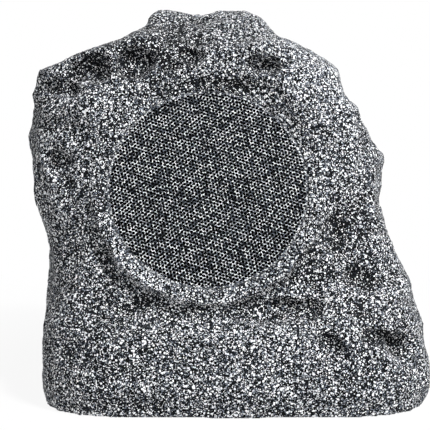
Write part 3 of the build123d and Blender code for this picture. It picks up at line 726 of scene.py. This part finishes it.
def turned_edge(sizes):
    """The grille's plain rim and turned back skirt as one ring, in the grille's own axes."""
    sides = 144
    proud = 0.0001
    bend, half_bend, half_drop = 0.0010, 0.0004, 0.0003
    outside = sizes.grille_radius
    inside = outside - sizes.grille_sheet
    holes = outside - sizes.grille_rim
    profile = (
        (outside - bend, -proud),
        (outside - half_bend, -half_drop),
        (outside, -sizes.grille_sheet),
        (outside, -sizes.grille_skirt),
        (inside, -sizes.grille_skirt),
        (inside, -sizes.grille_sheet),
        (holes, -sizes.grille_sheet),
    )
    before = (holes, proud)
    bpy.ops.object.select_all(action="DESELECT")
    bpy.ops.mesh.primitive_circle_add(vertices=sides, radius=before[0], location=(0, 0, before[1]))
    bpy.ops.object.transform_apply(location=True, rotation=True, scale=True)
    edge = bpy.context.object
    bpy.ops.object.mode_set(mode="EDIT")
    bpy.ops.mesh.select_mode(type="EDGE")
    bpy.ops.mesh.select_all(action="SELECT")
    for after in profile:
        bpy.ops.mesh.extrude_region_move(TRANSFORM_OT_translate={"value": (0, 0, after[1] - before[1])})
        bpy.ops.transform.resize(value=(after[0] / before[0], after[0] / before[0], 1))
        before = after
    bpy.ops.mesh.select_all(action="DESELECT")
    bpy.ops.mesh.select_non_manifold()
    bpy.ops.mesh.bridge_edge_loops()
    bpy.ops.mesh.select_all(action="SELECT")
    bpy.ops.mesh.normals_make_consistent(inside=False)
    return edge


class ROCKSPEAKER_OT_grille(bpy.types.Operator):
    bl_idname = "rockspeaker.grille"
    bl_label = "Perforated grille"

    def execute(self, context):
        sizes = context.scene.rock_speaker_sizes
        grille = perforated_sheet(sizes)
        edge = turned_edge(sizes)
        pick(grille)
        edge.select_set(True)
        bpy.ops.object.join()
        dress(grille, bpy.data.materials["speckled grille enamel"])
        pick(grille)
        grille.matrix_world = grille_place(sizes) @ Matrix.Rotation(sizes.hole_turn, 4, "Z")
        bpy.ops.object.transform_apply(location=True, rotation=True, scale=True)
        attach(grille, "cabinet")
        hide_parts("grille")
        return {"FINISHED"}


class ROCKSPEAKER_OT_suspension(bpy.types.Operator):
    """Cuts the surround and the spider into sectors"""

    bl_idname = "rockspeaker.suspension"
    bl_label = "Surround and spider"

    def execute(self, context):
        sizes = context.scene.rock_speaker_sizes
        centre = Vector(sizes.grille_centre)
        turn = grille_place(sizes).to_3x3()
        step = math.tau / sizes.sectors
        smooth_angle = math.radians(40)
        for node, slot, fixed, moving in (
            ("surround", "surround_rubber", sizes.surround_fixed, sizes.surround_moving),
            ("spider", "spider_cloth", sizes.spider_fixed, sizes.spider_moving),
        ):
            for number in range(sizes.sectors):
                sector = copy_node(node, f"{node}_{number + 1}")
                for angle, side in ((number * step, 1), ((number + 1) * step, -1)):
                    normal = turn @ Vector((-math.sin(angle), math.cos(angle), 0))
                    bpy.ops.mesh.select_all(action="SELECT")
                    bpy.ops.mesh.bisect(
                        plane_co=centre, plane_no=normal * side, use_fill=True, clear_inner=True,
                    )
                bpy.ops.object.mode_set(mode="OBJECT")
                bpy.ops.object.shade_smooth_by_angle(angle=smooth_angle)
                dress(sector, frame["nodes"][node].data.materials[0])
                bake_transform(sector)
                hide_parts(node)
        return {"FINISHED"}


def studio_floor(tint_of_floor):
    """A pale paper floor that looks white, with some of its own shade left under the object."""
    floor_size = 12
    floor_place = (0, 2, -0.0003)
    shade_reach, shade_end = 0.2, 0.6
    shade_white = 0.92
    bpy.ops.object.select_all(action="DESELECT")
    bpy.ops.mesh.primitive_plane_add(size=floor_size, location=floor_place)
    floor = bpy.context.object
    floor.name = "studio_floor"
    bpy.ops.object.transform_apply(location=True, rotation=True, scale=True)
    material, tree = new_material("studio paper")
    place = add_node(tree, "ShaderNodeTexCoord", (-1000, 300))
    away = add_node(
        tree, "ShaderNodeVectorMath", (-800, 300), {0: place.outputs["Object"]}, operation="LENGTH",
    )
    plain = add_node(
        tree, "ShaderNodeMapRange", (-600, 300), {"Value": away.outputs["Value"]},
        {"From Min": shade_reach, "From Max": shade_end, "To Min": shade_white, "To Max": 1.0},
    )
    seen = add_node(
        tree, "ShaderNodeMath", (-400, 200), {0: seen_rays(tree), 1: plain.outputs["Result"]},
        operation="MULTIPLY",
    )
    paper = add_node(tree, "ShaderNodeBsdfDiffuse", (-400, 0), inputs={"Color": (*tint_of_floor, 1)})
    white = add_node(tree, "ShaderNodeEmission", (-400, -150), inputs={"Color": (1, 1, 1, 1)})
    mix = add_node(
        tree, "ShaderNodeMixShader", (-100, 0),
        {0: seen.outputs[0], 1: paper.outputs[0], 2: white.outputs[0]},
    )
    add_node(tree, "ShaderNodeOutputMaterial", (100, 0), {"Surface": mix.outputs[0]})
    dress(floor, material)


def studio_world(scene):
    """A world that looks white and gives a weak light from all round."""
    fill_strength = 0.2
    scene.world = scene.world or bpy.data.worlds.new("studio")
    scene.world.use_nodes = True
    tree = scene.world.node_tree
    tree.nodes.clear()
    plain = {"Color": (1, 1, 1, 1)}
    fill = add_node(tree, "ShaderNodeBackground", (-300, 100), inputs={**plain, "Strength": fill_strength})
    white = add_node(tree, "ShaderNodeBackground", (-300, -100), inputs={**plain, "Strength": 1.0})
    mix = add_node(
        tree, "ShaderNodeMixShader", (0, 0), {0: seen_rays(tree), 1: fill.outputs[0], 2: white.outputs[0]},
    )
    add_node(tree, "ShaderNodeOutputWorld", (200, 0), {"Surface": mix.outputs[0]})


def studio_lamps():
    """A key lamp high on the right and a broad, weak one low on the left."""
    target = Vector((0, 0, 0.17))
    for name, place, size, power in (
        ("key", (0.95, -0.95, 1.75), 0.35, 58.0),
        ("fill", (-1.5, -1.2, 0.6), 1.5, 4.0),
    ):
        bpy.ops.object.light_add(type="AREA", location=place)
        lamp = bpy.context.object
        lamp.name = name
        lamp.data.size = size
        lamp.data.energy = power
        lamp.rotation_euler = (target - Vector(place)).to_track_quat("-Z", "Y").to_euler()


def studio_camera(scene):
    """A camera at the photograph's viewing angle, six degrees down on the rock."""
    place = (-0.0075, -0.83, 0.236)
    tilt = math.radians(84)
    bpy.ops.object.camera_add(location=place, rotation=(tilt, 0, 0))
    camera = bpy.context.object
    camera.data.lens = 74.4
    camera.data.sensor_width = 36
    camera.data.clip_start = 0.01
    scene.camera = camera


class ROCKSPEAKER_OT_stage(bpy.types.Operator):
    """Sets the pale floor, the soft lamps and the camera"""

    bl_idname = "rockspeaker.stage"
    bl_label = "Studio"

    def execute(self, context):
        studio_floor(context.scene.rock_speaker_colours.floor)
        studio_world(context.scene)
        studio_lamps()
        studio_camera(context.scene)
        context.scene.view_settings.view_transform = "Standard"
        return {"FINISHED"}


def rock_finishes(colours):
    """The granite coats of the rock and the grille by their material slots."""
    return {
        # Granite coat on the moulded rock: black and grey grains under white flecks of several sizes, matt;
        # painted shade in its hollows and painted light on its crests
        "rock": granite_coat(
            "speckled granite coat", colours, ground=(0.62, 0.98, 1.2),
            layers=((1.0, 1.0, -0.41), (1.75, 1.8, -1.19), (3.0, 1.9, -1.5)),
        ),
        # The same spray on the steel sheet: the thin webs between the holes catch more of the pale flecks
        "grille_paint": granite_coat(
            "speckled grille enamel", colours, ground=(0.32, 0.7, 1.03),
            layers=((1.2, 1.0, -0.28), (2.0, 1.5, -0.86)),
        ),
    }


def driver_finishes(front):
    """The finishes of the cloth and the driver behind it, some of them turned to face forward."""
    # Grain, weave and lathe lines that are finer than half a millimetre on the real pieces are drawn
    # coarser, at the sizes given here, so that they show
    return {
        # Woven acoustic cloth: black threads at right angles, without shine, so the grille's holes stay dark
        "scrim_cloth": finish(
            "woven acoustic cloth", "#030303", 0.95, 0.8, "weave", 0.0002, gloss=0.05, **front,
        ),
        # Stove enamel on pressed steel: black, half gloss, with a slight orange peel
        "basket_paint": finish("stove enamel", "#151516", 0.38, 1.6, depth=0.00008, spread=0.2),
        # Butyl rubber: black, satin, a little bloom on the roll
        "surround_rubber": finish("butyl rubber", "#101011", 0.6, 6.0, depth=0.00005, spread=0.35),
        # Mica filled polypropylene: dark grey with fine turned lines and a soft shine
        "cone_plastic": finish(
            "filled polypropylene", "#26272a", 0.42, 1.4, "rings", 0.00005, spread=0.2, **front,
        ),
        # Cotton cloth stiffened with resin: amber, with an open weave
        "spider_cloth": finish(
            "resin stiffened cotton", "#a87a3c", 0.75, 0.9, "weave", 0.0003, spread=0.4, **front,
        ),
        # Rolled aluminium foil: bright, with lines round the former
        "former_aluminium": finish(
            "aluminium foil", "#c6c8ca", 0.3, 0.6, "bands", 0.00003, 1.0, 0.1, **front,
        ),
        # Steel with a clear zinc plate: turned rings from the lathe
        "plate_steel": finish("turned steel", "#9a9da1", 0.36, 0.9, "rings", 0.00004, 1.0, 0.15, **front),
        # Sintered ferrite: charcoal, dry and fine grained
        "ferrite": finish("sintered ferrite", "#2b2b2d", 0.8, 0.7, spread=0.35),
        # Pressed fibre board: brown, with long fibres
        "fibre_board": finish("fibre board", "#5a3b22", 0.8, 0.9, "weave", 0.0001, spread=0.3),
        # Brass sheet: yellow, with the drag of the punch
        "tag_brass": finish("sheet brass", "#c8a24e", 0.3, 0.5, "bands", 0.00003, 1.0, 0.15),
        # Turned aluminium: pale, with fine rings along the bar
        "post_aluminium": finish(
            "turned aluminium", "#c9cbcd", 0.28, 0.5, "bands", 0.00003, 1.0, 0.12, **front,
        ),
        # ABS from a polished mould: black with a soft shine
        "tweeter_plastic": finish("polished ABS", "#111113", 0.3, 2.4, depth=0.00004, spread=0.25),
        # Nickel plate on steel: warm and bright
        "tweeter_metal": finish("nickel plated steel", "#b7b2a8", 0.25, 1.5, metallic=1.0, spread=0.1),
        # Polyester film: pearl grey, smooth and shiny over the dome
        "dome_film": finish("polyester film", "#b8bcc4", 0.22, 3.0, depth=0.00002, spread=0.12),
    }


def cabinet_finishes():
    """The finishes of the base, its fixings, the crossover and the cable gland."""
    return {
        # ABS from a spark eroded mould: near black, with an even grain that softens the shine; drawn coarser
        # than the real 0.2 mm to show
        "base_plastic": finish("moulded ABS", "#1d1e20", 0.55, 1.2, spread=0.3),
        # Closed cell foam: dull, with open cells at its cut face; drawn coarser than the real 0.3 mm to show
        "seal_rubber": finish("foam rubber", "#141414", 0.9, 0.8, "cells", 0.0003, gloss=0.2),
        # Zinc plate on steel: bright, with faint clouds from the bath
        "screw_steel": finish("zinc plated steel", "#b9bcc0", 0.32, 2.0, metallic=1.0, spread=0.12),
        # Glass cloth in epoxy: green, with the cloth's weave showing through
        "board_laminate": finish("epoxy glass laminate", "#1d4a2b", 0.4, 1.0, "weave", 0.00005, spread=0.25),
        # Nylon: milky white, with a slight flow mark
        "bobbin_plastic": finish("natural nylon", "#d9d6c8", 0.45, 3.0, depth=0.00004, spread=0.06),
        # Shrunk PVC sleeve: deep blue, glossy, with faint ripples
        "can_sleeve": finish("shrunk PVC sleeve", "#1b2f55", 0.25, 4.0, depth=0.00006, spread=0.15),
        # Cement: chalk white, dry and gritty
        "cement": finish("white cement", "#d5d2c8", 0.92, 0.6, depth=0.0002, spread=0.15),
        # Drawn PVC: black, satin, smooth along the lead
        "lead_pvc": finish("drawn PVC", "#18181a", 0.4, 1.8, depth=0.00004, spread=0.25),
        # Nylon with carbon black: deep black, satin
        "gland_nylon": finish("black nylon", "#0f1011", 0.48, 1.0, depth=0.00006, spread=0.3),
    }


class ROCKSPEAKER_OT_finishes(bpy.types.Operator):
    """Mixes the finishes and gives the solids theirs"""

    bl_idname = "rockspeaker.finishes"
    bl_label = "Finishes"

    def execute(self, context):
        sizes = context.scene.rock_speaker_sizes
        front = {"middle": sizes.grille_centre, "turn": math.pi / 2 - sizes.grille_lean}
        finishes = {
            **rock_finishes(context.scene.rock_speaker_colours),
            **driver_finishes(front),
            **cabinet_finishes(),
        }
        # Enamelled wire: orange brown, wound turn beside turn; a winding's lines lie square to its own axis
        windings = {
            "voice_coil": finish(
                "enamelled fine wire", "#b0602f", 0.3, 0.6, "bands", 0.0001, 1.0, 0.3, **front,
            ),
            "inductor_coil": finish(
                "enamelled copper wire", "#b0602f", 0.3, 1.0, "bands", 0.0002, 1.0, 0.3,
            ),
        }
        slots = {entry["node"]: entry["material_slot"] for entry in frame["record"]["subparts"]}
        for node, solid in frame["nodes"].items():
            dress(solid, windings.get(node) or finishes[slots[node]])
        return {"FINISHED"}


class ROCKSPEAKER_PT_panel(bpy.types.Panel):
    """Lists the pieces in the sidebar"""

    bl_idname = "ROCKSPEAKER_PT_panel"
    bl_label = "Rock speaker"
    bl_space_type = "VIEW_3D"
    bl_region_type = "UI"
    bl_category = "Rock speaker"

    def draw(self, context):
        for operator in operators:
            self.layout.operator(operator.bl_idname)


operators = (
    ROCKSPEAKER_OT_finishes,
    ROCKSPEAKER_OT_rock,
    ROCKSPEAKER_OT_grille,
    ROCKSPEAKER_OT_suspension,
    ROCKSPEAKER_OT_stage,
)
classes = (RockSpeakerSizes, RockSpeakerColours, *operators, ROCKSPEAKER_PT_panel)


def register():
    for item in classes:
        bpy.utils.register_class(item)
    bpy.types.Scene.rock_speaker_sizes = bpy.props.PointerProperty(type=RockSpeakerSizes)
    bpy.types.Scene.rock_speaker_colours = bpy.props.PointerProperty(type=RockSpeakerColours)


def unregister():
    del bpy.types.Scene.rock_speaker_colours
    del bpy.types.Scene.rock_speaker_sizes
    for item in reversed(classes):
        bpy.utils.unregister_class(item)


def main():
    register()
    bpy.ops.rockspeaker.finishes()
    bpy.ops.rockspeaker.rock()
    bpy.ops.rockspeaker.grille()
    bpy.ops.rockspeaker.suspension()
    bpy.ops.rockspeaker.stage()


if __name__ == "__main__":
    main()
